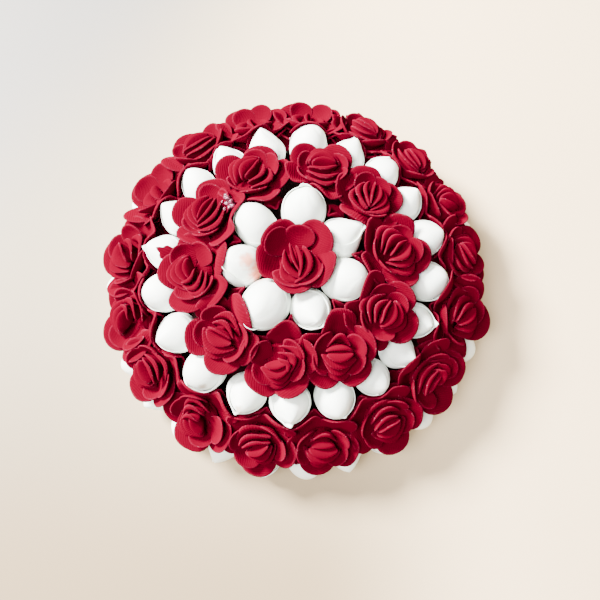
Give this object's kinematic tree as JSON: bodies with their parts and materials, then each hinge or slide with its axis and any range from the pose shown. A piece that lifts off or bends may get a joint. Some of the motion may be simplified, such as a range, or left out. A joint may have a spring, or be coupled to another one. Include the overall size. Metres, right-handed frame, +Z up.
{
  "type": "artificial flower hair bun cover",
  "caption": "Domed hair bun cover: a hollow cloth cap covered with rings of red cloth roses and white jasmine buds around a crown rose.",
  "frame": {"origin": "centre of the cap's rim, on the surface that it rests on", "axes": "+Z up through the crown rose; -Y is the side nearest the picture's camera and +X is to its right"},
  "size_m": [0.1219, 0.1221, 0.0503],
  "materials": {
    "dark_cap_cloth": "matte dark cloth",
    "red_velvet": "ribbed crimson velvet with frayed edges",
    "white_foam": "smooth white foam cloth"
  },
  "bodies": {
    "root": {"backing_cap": "dark_cap_cloth", "crown_rose": "red_velvet", "inner_rose_01": "red_velvet", "inner_rose_02": "red_velvet", "inner_rose_03": "red_velvet", "inner_rose_04": "red_velvet", "inner_rose_05": "red_velvet", "inner_rose_06": "red_velvet", "inner_rose_07": "red_velvet", "inner_rose_08": "red_velvet", "inner_rose_09": "red_velvet", "inner_rose_10": "red_velvet", "outer_rose_01": "red_velvet", "outer_rose_02": "red_velvet", "outer_rose_03": "red_velvet", "outer_rose_04": "red_velvet", "outer_rose_05": "red_velvet", "outer_rose_06": "red_velvet", "outer_rose_07": "red_velvet", "outer_rose_08": "red_velvet", "outer_rose_09": "red_velvet", "outer_rose_10": "red_velvet", "outer_rose_11": "red_velvet", "outer_rose_12": "red_velvet", "outer_rose_13": "red_velvet", "outer_rose_14": "red_velvet", "outer_rose_15": "red_velvet", "outer_rose_16": "red_velvet", "outer_rose_17": "red_velvet", "inner_bud_1": "white_foam", "inner_bud_2": "white_foam", "inner_bud_3": "white_foam", "inner_bud_4": "white_foam", "inner_bud_5": "white_foam", "inner_bud_6": "white_foam", "inner_bud_7": "white_foam", "middle_buds": "white_foam", "rim_buds": "white_foam"}
  },
  "joints": []
}
